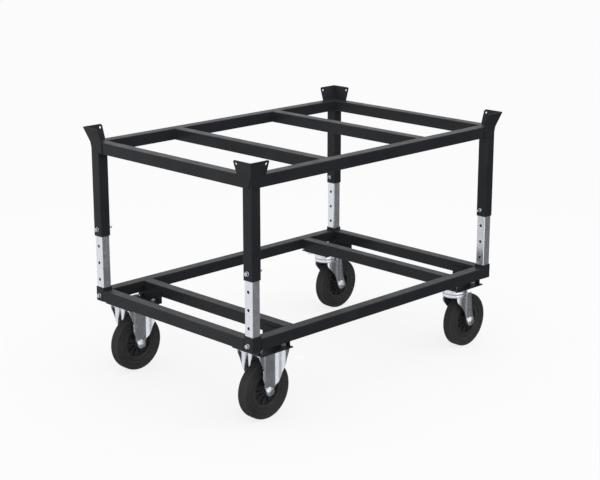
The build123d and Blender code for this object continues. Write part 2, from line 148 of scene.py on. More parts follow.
def rounded_rectangle(width: float, height: float, radius: float, per_corner: int = 6) -> Array:
    """Closed outline of a rectangle whose corners are quarter circles, anticlockwise.

    Args:
        width: Full size along the first axis.
        height: Full size along the second axis.
        radius: Corner radius.
        per_corner: Points on each quarter circle.

    Returns:
        Points, one row each, with the first not repeated.
    """
    angle = np.linspace(0, TAU / 4, per_corner)
    arc = radius * np.stack([np.cos(angle), np.sin(angle)], axis=1)
    centre = np.array([width / 2 - radius, height / 2 - radius])
    quarter = arc + centre
    second, fourth = quarter[::-1] * -MIRROR_SECOND, quarter[::-1] * MIRROR_SECOND
    return np.concatenate([quarter, second, -quarter, fourth])


@dataclass
class Shape:
    """A mesh being made: its points in millimetres and its faces as rows of point numbers."""

    points: Array
    quads: Array

    @staticmethod
    def grid(points: Array, around: bool = False, along: bool = False) -> "Shape":
        """Quads over a grid of points, row i and column j joined to i + 1 and j + 1.

        Args:
            points: Grid of points, rows by columns by 3.
            around: Whether the last row joins the first.
            along: Whether the last column joins the first.

        Returns:
            The surface.
        """
        rows, columns = points.shape[:2]
        number = np.arange(rows * columns).reshape(rows, columns)
        if around:
            number = np.vstack([number, number[:1]])
        if along:
            number = np.hstack([number, number[:, :1]])
        a, b = number[:-1, :-1], number[1:, :-1]
        c, d = number[1:, 1:], number[:-1, 1:]
        quads = np.stack([a, b, c, d], axis=-1).reshape(-1, 4)
        return Shape(points.reshape(-1, 3), quads)

    def placed(self, matrix: Matrix) -> "Shape":
        """The shape moved by a 4 x 4 matrix, turned inside out again if the matrix mirrors it."""
        m = np.array(matrix)
        points = self.points @ m[:3, :3].T + m[:3, 3]
        quads = self.quads if np.linalg.det(m[:3, :3]) > 0 else self.quads[:, ::-1]
        return Shape(points, quads)

    def raised(self, z: float) -> "Shape":
        """The shape moved up by z."""
        return Shape(self.points + np.array([0.0, 0.0, z]), self.quads)

    def mirrored_y(self) -> "Shape":
        """The shape mirrored in the plane y = 0."""
        return Shape(self.points * np.array([1, -1, 1]), self.quads[:, ::-1])

    def outward(self) -> "Shape":
        """The closed shape with its faces pointing out.

        The signed volume is the sum over triangles of corner a dot (b cross c) over 6, and a
        negative one means that the faces point in.
        """
        p = self.points
        volume = 0.0
        for tri in (self.quads[:, [0, 1, 2]], self.quads[:, [0, 2, 3]]):
            a, b, c = p[tri[:, 0]], p[tri[:, 1]], p[tri[:, 2]]
            volume += np.einsum("ij,ij->i", a, np.cross(b, c)).sum() / 6
        return self if volume > 0 else Shape(p, self.quads[:, ::-1])

    @staticmethod
    def joined(shapes: list["Shape"]) -> "Shape":
        """Several shapes as one mesh."""
        starts = np.cumsum([0] + [len(s.points) for s in shapes[:-1]])
        points = np.concatenate([s.points for s in shapes])
        quads = np.concatenate([s.quads + start for s, start in zip(shapes, starts)])
        return Shape(points, quads)


def revolved(section: Array, turns: int) -> Shape:
    """Surface of revolution about Z: (r, z) goes to (r cos a, r sin a, z) for a full turn of a.

    Args:
        section: Points (r, z) of the closed section, with the first not repeated.
        turns: How many steps make the full turn.

    Returns:
        The closed surface.
    """
    angle = np.linspace(0, TAU, turns, endpoint=False)[:, None]
    r, z = section[:, 0][None, :], section[:, 1][None, :]
    points = np.stack([r * np.cos(angle), r * np.sin(angle), z + 0 * angle], axis=-1)
    return Shape.grid(points, around=True, along=True).outward()


def slab(outer: Array, inner: Array) -> Shape:
    """Closed plate between two grids of the same size, with walls along their four edges.

    The walls come from one grid whose rows are outer, then inner reversed, so that the section
    runs once round the plate; its two open ends are closed by thin strips.

    Args:
        outer: Grid on one side, rows by columns by 3.
        inner: The same grid on the other side.

    Returns:
        The closed surface.
    """
    wrap = Shape.grid(np.concatenate([outer, inner[::-1]], axis=0), around=True)
    first = Shape.grid(np.stack([inner[:, 0], outer[:, 0]], axis=1))
    last = Shape.grid(np.stack([outer[:, -1], inner[:, -1]], axis=1))
    return Shape.joined([wrap, first, last]).outward()


def capped_stack(rings: Array) -> Shape:
    """Closed body through a stack of rings, each end filled by a fan to its ring's middle.

    A fan is a strip to a last ring whose points all lie at the middle, where they are joined.

    Args:
        rings: Rings by points by 3.

    Returns:
        The closed surface.
    """
    middle = np.broadcast_to(rings.mean(axis=1, keepdims=True), rings.shape)
    return Shape.grid(np.concatenate([middle[:1], rings, middle[-1:]]), along=True).outward()


def rounded_plate(outline_at: Callable[[float], Array], thickness: float, edge: float) -> Shape:
    """Flat plate whose edge is rounded top and bottom.

    Each ring is the outline drawn in by edge * (1 - sin a) at height edge * (1 - cos a), with a
    from 0 to a quarter turn, and the same mirrored at the other face.

    Args:
        outline_at: Function from the distance drawn in to the outline's points.
        thickness: Plate thickness.
        edge: Radius of the rounded edge.

    Returns:
        The plate, standing on z = 0.
    """
    angle = np.linspace(0, TAU / 4, 4)
    drawn_in = edge * (1 - np.sin(angle))
    height = edge * (1 - np.cos(angle))
    drawn_in = np.concatenate([drawn_in, drawn_in[::-1]])
    height = np.concatenate([height, thickness - height[::-1]])
    rings = []
    for inset, z in zip(drawn_in, height):
        flat = outline_at(inset)
        rings.append(np.column_stack([flat, np.full(len(flat), z)]))
    return capped_stack(np.array(rings))


def carried(profile: Array, path: Array, side: Array, up: Array) -> Shape:
    """A closed profile carried along a path: point = path + side * px + up * py.

    Args:
        profile: Closed outline (px, py), or one outline per path point.
        path: Points of the path, one row each.
        side: The profile's first direction.
        up: The profile's second direction.

    Returns:
        The body, closed at both ends.
    """
    profile = np.broadcast_to(profile, (len(path),) + profile.shape[-2:])
    rings = path[:, None, :] + profile[..., :1] * side + profile[..., 1:] * up
    return capped_stack(rings)


# ---------------------------------------------------------------- finishes
class Graph:
    """Small helper that adds shader nodes to one material and links them.

    MIX_FIRST, MIX_SECOND and MIX_RESULT number a colour mix's sockets, because its sockets for
    other kinds of value have the same names.
    """

    MIX_FIRST, MIX_SECOND, MIX_RESULT = 6, 7, 2

    def __init__(self, name: str) -> None:
        """Start an empty material with a Principled shader.

        Args:
            name: The material's name.
        """
        self.material = bpy.data.materials.new(name)
        self.material.use_nodes = True
        self.tree = self.material.node_tree
        self.shader = self.tree.nodes["Principled BSDF"]
        self.place = self.tree.nodes.new("ShaderNodeTexCoord").outputs["Object"]

    def node(self, kind: str, **values: object) -> bpy.types.Node:
        """Add a node and set its properties.

        Args:
            kind: Node type name.
            values: Property names and values.

        Returns:
            The node.
        """
        made = self.tree.nodes.new(kind)
        for key, value in values.items():
            setattr(made, key, value)
        return made

    def link(self, source: bpy.types.NodeSocket, target: bpy.types.NodeSocket) -> None:
        """Join an output to an input."""
        self.tree.links.new(source, target)

    def stretched(self, x: float, y: float, z: float) -> bpy.types.NodeSocket:
        """Object coordinates scaled along each axis, for marks that run one way."""
        mapping = self.node("ShaderNodeMapping")
        mapping.inputs["Scale"].default_value = (x, y, z)
        self.link(self.place, mapping.inputs["Vector"])
        return mapping.outputs["Vector"]

    def noise(self, scale: float, detail: float = 3.0, roughness: float = 0.5,
              place: bpy.types.NodeSocket | None = None) -> bpy.types.NodeSocket:
        """Soft noise over the object.

        Args:
            scale: Cells per metre.
            detail: Octaves.
            roughness: Weight of the finer octaves.
            place: Coordinates to use in place of plain object ones.

        Returns:
            The noise value's socket.
        """
        made = self.node("ShaderNodeTexNoise")
        made.inputs["Scale"].default_value = scale
        made.inputs["Detail"].default_value = detail
        made.inputs["Roughness"].default_value = roughness
        self.link(place or self.place, made.inputs["Vector"])
        return made.outputs["Fac"]

    def cells(self, scale: float, place: bpy.types.NodeSocket) -> bpy.types.NodeSocket:
        """One random grey per crystal-like cell."""
        made = self.node("ShaderNodeTexVoronoi", feature="F1")
        made.inputs["Scale"].default_value = scale
        self.link(place, made.inputs["Vector"])
        grey = self.node("ShaderNodeSeparateColor")
        self.link(made.outputs["Color"], grey.inputs["Color"])
        return grey.outputs["Red"]

    def spread(self, value: bpy.types.NodeSocket, low: float, high: float,
               start: float = 0.3, end: float = 0.7) -> bpy.types.NodeSocket:
        """Map a value from start..end to low..high, held at both ends."""
        made = self.node("ShaderNodeMapRange", clamp=True)
        ends = {"From Min": start, "From Max": end, "To Min": low, "To Max": high}
        for key, number in ends.items():
            made.inputs[key].default_value = number
        self.link(value, made.inputs["Value"])
        return made.outputs["Result"]

    def blend(self, factor: bpy.types.NodeSocket, first: Colour | bpy.types.NodeSocket,
              second: Colour) -> bpy.types.NodeSocket:
        """Mix two colours by a factor.

        Args:
            factor: How much of the second.
            first: A colour or another mix.
            second: A colour.

        Returns:
            The mixed colour's socket.
        """
        made = self.node("ShaderNodeMix", data_type="RGBA")
        self.link(factor, made.inputs["Factor"])
        if isinstance(first, tuple):
            made.inputs[self.MIX_FIRST].default_value = (*first, 1.0)
        else:
            self.link(first, made.inputs[self.MIX_FIRST])
        made.inputs[self.MIX_SECOND].default_value = (*second, 1.0)
        return made.outputs[self.MIX_RESULT]

    def bump(self, height: bpy.types.NodeSocket, depth: float, strength: float,
             under: bpy.types.NodeSocket | None = None) -> bpy.types.NodeSocket:
        """Bump whose full height is depth metres, over another bump if one is given."""
        made = self.node("ShaderNodeBump")
        made.inputs["Distance"].default_value = depth
        made.inputs["Strength"].default_value = strength
        self.link(height, made.inputs["Height"])
        if under is not None:
            self.link(under, made.inputs["Normal"])
        return made.outputs["Normal"]

    def finish(self, colour: bpy.types.NodeSocket, roughness: bpy.types.NodeSocket,
               normal: bpy.types.NodeSocket, metallic: float,
               **constants: float) -> bpy.types.Material:
        """Link the worked-out values to the shader and set the constant ones on it.

        Args:
            colour: Base colour.
            roughness: Roughness.
            normal: Bumped normal.
            metallic: Metallic share.
            constants: Other shader inputs, with underscores for spaces.

        Returns:
            The material.
        """
        self.link(colour, self.shader.inputs["Base Color"])
        self.link(roughness, self.shader.inputs["Roughness"])
        self.link(normal, self.shader.inputs["Normal"])
        self.shader.inputs["Metallic"].default_value = metallic
        for key, value in constants.items():
            self.shader.inputs[key.replace("_", " ")].default_value = value
        return self.material


class Slot(Enum):
    """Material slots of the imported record."""

    POWDER = "black_powder_coat"
    GALVANISED = "galvanised_tube"
    ZINC_SHEET = "zinc_plated_sheet"
    FASTENER = "zinc_fastener"
    BALL = "ball_steel"
    RUBBER = "black_rubber"
    PLASTIC = "black_plastic"
    NYLON = "bearing_plastic"


@dataclass(frozen=True)
class PowderCoat:
    """Black powder coat: fine orange peel, cloudy gloss and a little settled dust."""

    dark: Colour = (0.0135, 0.0144, 0.0168)
    light: Colour = (0.0188, 0.0198, 0.0228)
    dust: Colour = (0.046, 0.047, 0.050)
    rough: tuple[float, float] = (0.28, 0.42)

    def material(self) -> bpy.types.Material:
        """Build the material."""
        g = Graph("powder_coat")
        cloud = g.noise(scale=7.0, detail=4.0)
        colour = g.blend(g.spread(cloud, low=0.0, high=1.0), self.dark, self.light)
        speck = g.noise(scale=260.0, detail=5.0, roughness=0.7)
        dusty = g.spread(speck, low=0.0, high=0.55, start=0.60, end=0.78)
        colour = g.blend(dusty, colour, self.dust)
        rough = g.spread(g.noise(scale=22.0, detail=5.0, roughness=0.6), *self.rough)
        peel = g.bump(g.noise(scale=700.0, detail=2.0), depth=0.00012, strength=0.45)
        wave = g.bump(g.noise(scale=38.0, detail=2.0), depth=0.0006, strength=0.18, under=peel)
        return g.finish(colour, rough, wave, metallic=0.0, IOR=1.2)


@dataclass(frozen=True)
class Galvanised:
    """Galvanised tube: spangle cells of slightly different greys, drawn along the tube."""

    dark: Colour = (0.62, 0.645, 0.69)
    light: Colour = (0.69, 0.715, 0.76)
    stain: Colour = (0.56, 0.58, 0.62)
    rough: tuple[float, float] = (0.20, 0.25)

    def material(self) -> bpy.types.Material:
        """Build the material."""
        g = Graph("galvanised_spangle")
        along = g.stretched(1.0, 1.0, 0.55)
        coarse = g.cells(150.0, along)
        fine = g.spread(g.cells(420.0, along), low=0.0, high=0.3, start=0.5, end=1.0)
        colour = g.blend(coarse, self.dark, self.light)
        colour = g.blend(fine, colour, self.light)
        cloud = g.noise(scale=9.0, detail=5.0, roughness=0.65)
        stained = g.spread(cloud, low=0.0, high=0.35, start=0.55, end=0.8)
        colour = g.blend(stained, colour, self.stain)
        rough = g.spread(coarse, *self.rough, start=0.0, end=1.0)
        drawn = g.stretched(1.0, 1.0, 0.04)
        scratch = g.noise(scale=60.0, detail=3.0, roughness=0.6, place=drawn)
        normal = g.bump(scratch, depth=0.00006, strength=0.15)
        return g.finish(colour, rough, normal, metallic=0.85)


@dataclass(frozen=True)
class ZincPlate:
    """Bright zinc plate: milky blue-grey clouding over faint rolling marks."""

    name: str = "zinc_sheet"
    dark: Colour = (0.68, 0.71, 0.765)
    light: Colour = (0.77, 0.80, 0.85)
    warm: Colour = (0.72, 0.72, 0.70)
    rough: tuple[float, float] = (0.20, 0.27)

    def material(self) -> bpy.types.Material:
        """Build the material."""
        g = Graph(self.name)
        cloud = g.noise(scale=26.0, detail=6.0, roughness=0.62)
        milky = g.spread(cloud, low=0.0, high=1.0, start=0.32, end=0.68)
        colour = g.blend(milky, self.dark, self.light)
        patch = g.noise(scale=14.0, detail=3.0)
        warmed = g.spread(patch, low=0.0, high=0.35, start=0.55, end=0.75)
        colour = g.blend(warmed, colour, self.warm)
        drawn = g.stretched(1.0, 1.0, 0.06)
        rolling = g.noise(scale=160.0, detail=4.0, roughness=0.6, place=drawn)
        rough = g.spread(cloud, *self.rough, start=0.35, end=0.7)
        normal = g.bump(rolling, depth=0.00004, strength=0.15)
        return g.finish(colour, rough, normal, metallic=0.95)


@dataclass(frozen=True)
class MouldedRubber:
    """Black tyre rubber: matt, with a fine grain, grey scuffs and dust in patches."""

    dark: Colour = (0.022, 0.0225, 0.0235)
    light: Colour = (0.031, 0.0315, 0.033)
    scuff: Colour = (0.062, 0.061, 0.060)
    rough: tuple[float, float] = (0.62, 0.82)

    def material(self) -> bpy.types.Material:
        """Build the material."""
        g = Graph("moulded_rubber")
        cloud = g.noise(scale=12.0, detail=4.0)
        colour = g.blend(g.spread(cloud, low=0.0, high=1.0), self.dark, self.light)
        speck = g.noise(scale=85.0, detail=6.0, roughness=0.7)
        scuffed = g.spread(speck, low=0.0, high=0.6, start=0.62, end=0.8)
        colour = g.blend(scuffed, colour, self.scuff)
        rough = g.spread(g.noise(scale=30.0, detail=4.0), *self.rough)
        fine = g.noise(scale=900.0, detail=3.0, roughness=0.6)
        grain = g.bump(fine, depth=0.00015, strength=0.6)
        dents = g.bump(g.noise(scale=120.0, detail=3.0), depth=0.0003, strength=0.25, under=grain)
        return g.finish(colour, rough, dents, metallic=0.0, IOR=1.25)


@dataclass(frozen=True)
class MouldedPlastic:
    """Moulded plastic with a fine spark-eroded grain and faint flow marks."""

    name: str = "black_plastic"
    dark: Colour = (0.020, 0.0203, 0.0210)
    light: Colour = (0.030, 0.0302, 0.0305)
    rough: tuple[float, float] = (0.42, 0.58)

    def material(self) -> bpy.types.Material:
        """Build the material."""
        g = Graph(self.name)
        flow = g.noise(scale=18.0, detail=5.0, roughness=0.6)
        streaked = g.spread(flow, low=0.0, high=1.0, start=0.35, end=0.65)
        colour = g.blend(streaked, self.dark, self.light)
        grain = g.bump(g.noise(scale=1100.0, detail=2.0), depth=0.0001, strength=0.5)
        return g.finish(colour, g.spread(flow, *self.rough), grain, metallic=0.0, IOR=1.3)


FINISHES = {
    Slot.POWDER: PowderCoat(),
    Slot.GALVANISED: Galvanised(),
    Slot.ZINC_SHEET: ZincPlate(),
    Slot.FASTENER: ZincPlate(name="zinc_fastener", dark=(0.54, 0.56, 0.60),
                             light=(0.68, 0.70, 0.74), warm=(0.62, 0.61, 0.57),
                             rough=(0.24, 0.32)),
    Slot.BALL: ZincPlate(name="ball_steel", dark=(0.42, 0.42, 0.43), light=(0.62, 0.62, 0.63),
                         warm=(0.40, 0.36, 0.30), rough=(0.12, 0.25)),
    Slot.RUBBER: MouldedRubber(),
    Slot.PLASTIC: MouldedPlastic(),
    Slot.NYLON: MouldedPlastic(name="bearing_nylon", dark=(0.60, 0.59, 0.54),
                               light=(0.72, 0.71, 0.66), rough=(0.35, 0.5)),
}


@dataclass
class Workshop:
    """Makes the finishes once and turns shapes into pieces that ride on the frame's bodies."""

    frame: dict
    finishes: dict = field(default_factory=dict)

    def __post_init__(self) -> None:
        """Build every finish."""
        self.finishes = {slot: finish.material() for slot, finish in FINISHES.items()}

    def piece(self, name: str, shape: Shape, body: str, slot: Slot, replaces: tuple[str, ...] = (),
              bevel: float = 0.0, bend: float = 40.0) -> bpy.types.Object:
        """Make a mesh object from a shape, finish it and fix it to a body.

        Args:
            name: The piece's name.
            shape: Closed surface in millimetres.
            body: The frame body that it rides on.
            slot: Its finish.
            replaces: CAD nodes that it stands for.
            bevel: Radius given to its sharp edges, in millimetres.
            bend: Angle above which an edge is sharp, in degrees.

        Returns:
            The object.
        """
        mesh = bpy.data.meshes.new(name)
        mesh.from_pydata((shape.points * MM).tolist(), [], shape.quads.tolist())
        return self._finished(name, mesh, body, slot, replaces, bevel, bend)

    def softened(self, node: str, body: str, slot: Slot, bevel: float,
                 bend: float) -> bpy.types.Object:
        """A copy of a CAD node with its loose triangles joined and its sharp edges rounded.

        Args:
            node: The CAD node.
            body: The frame body that it rides on.
            slot: Its finish.
            bevel: Radius given to its edges, in millimetres.
            bend: Angle above which an edge is rounded, in degrees.

        Returns:
            The object that replaces the node.
        """
        mesh = self.frame["nodes"][node].data.copy()
        mesh.materials.clear()
        name = f"{node}_softened"
        return self._finished(name, mesh, body, slot, (node,), bevel, bend, flat=True)

    def _finished(self, name: str, mesh: bpy.types.Mesh, body: str, slot: Slot,
                  replaces: tuple[str, ...], bevel: float, bend: float,
                  flat: bool = False) -> bpy.types.Object:
        """Join doubled points, shade, bevel, link and attach one mesh.

        Args:
            name: Object name.
            mesh: The mesh to finish.
            body: The frame body that it rides on.
            slot: Its finish.
            replaces: CAD nodes that it stands for.
            bevel: Edge radius in millimetres, 0 for none.
            bend: Angle above which an edge is sharp, in degrees.
            flat: Whether to melt triangles that lie in one plane into larger faces.

        Returns:
            The object.
        """
        build = bmesh.new()
        build.from_mesh(mesh)
        bmesh.ops.remove_doubles(build, verts=build.verts, dist=JOIN_DISTANCE)
        bmesh.ops.dissolve_degenerate(build, edges=build.edges, dist=SLIVER_LENGTH)
        if flat:
            bmesh.ops.dissolve_limit(build, angle_limit=FLAT_ANGLE, verts=build.verts,
                                     edges=build.edges)
        build.to_mesh(mesh)
        build.free()
        mesh.shade_smooth()
        mesh.set_sharp_from_angle(angle=radians(bend))
        made = bpy.data.objects.new(name, mesh)
        bpy.context.scene.collection.objects.link(made)
        mesh.materials.append(self.finishes[slot])
        if bevel:
            rounding = made.modifiers.new("edges", "BEVEL")
            rounding.width, rounding.segments = bevel * MM, BEVEL_STEPS
            rounding.limit_method, rounding.angle_limit = "ANGLE", radians(bend)
            made.modifiers.new("even_shading", "WEIGHTED_NORMAL")
        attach(made, body)
        if replaces:
            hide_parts(*replaces)
        return made

    def dress(self) -> None:
        """Give every CAD node that is still shown the finish of its slot."""
        subparts = self.frame["record"]["subparts"]
        slots = {part["node"]: Slot(part["material_slot"]) for part in subparts}
        for node, thing in self.frame["nodes"].items():
            thing.data.materials.clear()
            thing.data.materials.append(self.finishes[slots[node]])


# ---------------------------------------------------------------- wheels
@dataclass
class Wheel:
    """One wheel: a grooved solid tyre on a ribbed plastic centre, both turning about Y."""

    name: str
    body: str
    centre: Vector
    radius: float = 100.0
    half_width: float = 18.0
    shoulder: float = 4.6
    seat_radius: float = 66.05
    crown: float = 0.5
    hub_radius: float = 17.0
    hub_half: float = 28.0
    bore: float = 10.05
    pocket_radius: float = 50.5
    ribs: int = 10
    turns: int = 192
    groove_lines: tuple[float, ...] = (-9.0, -3.1, 3.1, 9.0)
    groove_half_width: float = 1.3
    groove_depth: float = 1.6
    side_rings: tuple[tuple[float, float, float], ...] = (
        (91.5, 1.6, 1.5), (84.0, 2.0, 2.2), (76.5, 1.6, 1.6))
    lean_radius: float = 70.5
    lean_depth: float = 2.6
    lean_width: float = 3.0
    seat_inset: float = 4.6
    seat_step: float = 2.0
    web_half: float = 2.8
    rib_half_height: float = 23.0
    rib_fall: float = 8.5
    rib_hollow: float = 4.5
    rib_half_width: float = 1.7
    rib_flare: float = 0.5
    rib_corner: float = 0.55
    rib_sunk: float = 1.5
    rib_reach: float = 2.0

    def _tyre_section(self) -> Array:
        """Closed section (r, z) of the tyre.

        The tread is the parabola radius - crown * (z / half)^2 less four narrow grooves, the
        shoulders are quarter circles, and each side wall is flat but for rings pressed into it
        and a foot that leans in to the seat. Grooves and rings have eased flanks; a ring is
        given as its radius, half width and depth.

        Returns:
            The section's points.
        """
        half, top = self.half_width, self.radius - self.crown
        z = np.linspace(half - self.shoulder, self.shoulder - half, 61)
        groove = np.zeros_like(z)
        for line in self.groove_lines:
            flank = smooth_step(1 - np.abs(z - line) / self.groove_half_width)
            groove += self.groove_depth * flank
        tread = np.stack([self.radius - self.crown * (z / half) ** 2 - groove, z], axis=1)
        angle = np.linspace(0, TAU / 4, 9)[1:]
        r = top - self.shoulder + self.shoulder * np.cos(angle)
        shoulder = np.stack([r, self.shoulder - half - self.shoulder * np.sin(angle)], axis=1)
        r = np.linspace(top - self.shoulder, self.seat_radius + 1.2, 64)[1:]
        dip = 0.0 * r
        for ring, wide, deep in self.side_rings:
            dip += deep * smooth_step(1 - np.abs(r - ring) / wide)
        dip += self.lean_depth * smooth_step((self.lean_radius - r) / self.lean_width)
        wall = np.stack([r, dip - half], axis=1)
        lower = np.concatenate([shoulder, wall, [[self.seat_radius, self.seat_inset - half]]])
        upper = lower[::-1] * MIRROR_SECOND
        return np.concatenate([upper, tread[:-1], lower])

    def _centre_section(self) -> Array:
        """Closed section (r, z) of the hub, dished web and tyre seat, its corners cut round."""
        hub, end, pocket = self.hub_radius, self.hub_half, self.pocket_radius
        web, top = self.web_half, self.half_width - self.seat_step
        hub_end = [(self.bore, end - 0.6), (self.bore + 0.6, end), (hub - 1.2, end),
                   (hub, end - 1.2)]
        dish = [(hub + 0.6, 14), (hub + 1.6, 5.6), (hub + 4, 3.6), (30, web), (pocket - 6, web),
                (pocket - 2.4, 3.4), (pocket - 0.8, 5.4), (pocket - 0.3, 9)]
        rim = [(pocket, top - 1.4), (pocket + 0.5, top - 0.4), (pocket + 1.5, top), (57.6, top),
               (58.3, top - 0.8), (59.7, top - 0.8), (60.4, top), (64.8, top), (66.0, top - 0.6)]
        upper = np.array(hub_end + dish + rim)
        return np.concatenate([upper, upper[::-1] * MIRROR_SECOND])

    def _rib(self, angle: float) -> Shape:
        """One radial rib: a rounded strip whose height falls from hub to seat in a hollow curve.

        With t from 0 at the hub to 1 at the seat, the half height is rib_half_height
        - rib_fall * t - rib_hollow * sin(pi t), and the half width is rib_half_width
        + rib_flare * (2 t - 1)^2.

        Args:
            angle: Where round the wheel the rib stands.

        Returns:
            The rib, in the wheel's own frame with Z as its axis.
        """
        t = np.linspace(0, 1, 22)
        hollow = self.rib_hollow * np.sin(np.pi * t)
        half_height = self.rib_half_height - self.rib_fall * t - hollow
        half_width = self.rib_half_width + self.rib_flare * (2 * t - 1) ** 2
        ring = rounded_rectangle(2.0, 2.0, self.rib_corner, per_corner=4)
        profile = ring[None] * np.stack([half_width, half_height], axis=1)[:, None, :]
        along = np.array([np.cos(angle), np.sin(angle), 0.0])
        start = self.hub_radius - self.rib_sunk
        reach = self.pocket_radius - self.hub_radius + self.rib_reach
        path = (start + t * reach)[:, None] * along
        side = np.array([-np.sin(angle), np.cos(angle), 0.0])
        return carried(profile, path, side, np.array([0.0, 0.0, 1.0]))

    def build(self, shop: Workshop) -> None:
        """Make the tyre and the wheel centre.

        Args:
            shop: Where pieces are made.
        """
        stand = Matrix.Translation(self.centre) @ Matrix.Rotation(-radians(90), 4, "X")
        tyre = revolved(self._tyre_section(), self.turns).placed(stand)
        shop.piece(f"tyre_{self.name}_moulded", tyre, self.body, Slot.RUBBER,
                   (f"tyre_{self.name}",))
        angles = np.arange(self.ribs) * TAU / self.ribs
        web = revolved(self._centre_section(), self.turns // 2)
        centre = Shape.joined([web] + [self._rib(angle) for angle in angles]).placed(stand)
        shop.piece(f"wheel_centre_{self.name}", centre, self.body, Slot.PLASTIC,
                   (f"rim_{self.name}",))
        LOG.info("wheel %s", self.name)


# ---------------------------------------------------------------- casters
def half_chord(radius: float, away: Array) -> Array:
    """Half a circle's chord at a distance from its centre: sqrt(radius^2 - away^2), never 0."""
    smallest = 0.01
    return np.sqrt(np.maximum(radius ** 2 - away ** 2, smallest))


def heights(low: float, high: float, count: int) -> Array:
    """Heights from just over low up to high, closest together at the foot.

    They follow low + (high - low) * (1 - cos a), with a from 0 to a quarter turn.

    Args:
        low: The foot's lowest point.
        high: Where the leg ends.
        count: How many heights.

    Returns:
        The heights.
    """
    clear = 0.05
    return low + clear + (high - low) * (1 - np.cos(np.linspace(0, TAU / 4, count)))


@dataclass
class TopPlate:
    """Caster top plate: a rounded plate with a softened edge."""

    length: float = 135.0
    width: float = 110.0
    corner: float = 8.0
    thickness: float = 3.5
    edge: float = 0.6
    top: float = 243.0

    def shape(self) -> Shape:
        """The plate, centred on the Z axis with its top at the mounting height."""
        def outline(inset: float) -> Array:
            """The plate's outline drawn in by inset."""
            length, width = self.length - 2 * inset, self.width - 2 * inset
            return rounded_rectangle(length, width, self.corner - inset)

        return rounded_plate(outline, self.thickness, self.edge).raised(self.top - self.thickness)


@dataclass
class RigidHousing:
    """Fixed caster housing: a plate and two corrugated legs that taper to a round foot."""

    name: str
    centre: Vector
    sheet: float = 3.0
    axle_height: float = 100.0
    foot_radius: float = 17.5
    top: float = 239.6
    flat: float = 32.0
    boss_radius: float = 13.5
    boss_rise: float = 2.4
    boss_flank: float = 2.2
    taper: Section = ((98, 17), (108, 19.5), (120, 25), (142, 36), (178, 46.2), (204, 54),
                      (232, 66), (250, 67))
    taper_blur: float = 7.0
    corrugation: Section = ((-5, 0), (23, 0), (28.5, 9), (40.5, 13.2), (47, 22), (90, 22))
    corrugation_blur: float = 1.3

    def _half_width(self, z: Array) -> Array:
        """Half the leg's width at height z: straight runs with rounded corners over a round foot.

        The two are blended by a smooth step just above the axle, whose height starts the circle.

        Args:
            z: Heights.

        Returns:
            Half widths.
        """
        taper = blurred_line(self.taper, z, self.taper_blur)
        foot = half_chord(self.foot_radius, z - self.axle_height)
        share = smooth_step((z - self.axle_height - 2) / 8)
        return taper * share + foot * (1 - share)

    def _corrugation(self, x: Array) -> Array:
        """Distance of the outer face from the wheel's middle plane, by distance from the axle."""
        return self.flat + blurred_line(self.corrugation, np.abs(x), self.corrugation_blur)

    def leg(self) -> Shape:
        """One leg: point (u, z) lies at x = u * half width and y = corrugation(x) plus the boss.

        The boss is a raised disc round the axle with a conical flank. The inner face is the outer
        one moved in by the sheet's thickness along the plan normal (-f', 1).

        Returns:
            The leg on the +Y side.
        """
        u = np.linspace(-1, 1, 97)[:, None]
        low = self.axle_height - self.foot_radius
        z = heights(low, self.top, 72)[None, :]
        x = u * self._half_width(z)
        z = z + 0 * x
        away = np.hypot(x, z - self.axle_height)
        boss = self.boss_rise * smooth_step((self.boss_radius - away) / self.boss_flank)
        y = self._corrugation(x) + boss
        reach = 0.2
        slope = (self._corrugation(x + reach) - self._corrugation(x - reach)) / (2 * reach)
        size = np.sqrt(1 + slope ** 2)
        outer = np.stack([x, y, z], axis=-1)
        inner = outer + self.sheet * np.stack([slope / size, -1 / size, 0 * z], axis=-1)
        return slab(outer, inner)

    def build(self, shop: Workshop) -> None:
        """Make the housing.

        Args:
            shop: Where pieces are made.
        """
        leg = self.leg()
        shape = Shape.joined([TopPlate().shape(), leg, leg.mirrored_y()])
        shape = shape.placed(Matrix.Translation(self.centre))
        shop.piece(f"rigid_housing_{self.name}", shape, "lower_frame", Slot.ZINC_SHEET,
                   (f"rigid_fork_{self.name}",), bevel=0.5, bend=50.0)
        LOG.info("rigid housing %s", self.name)


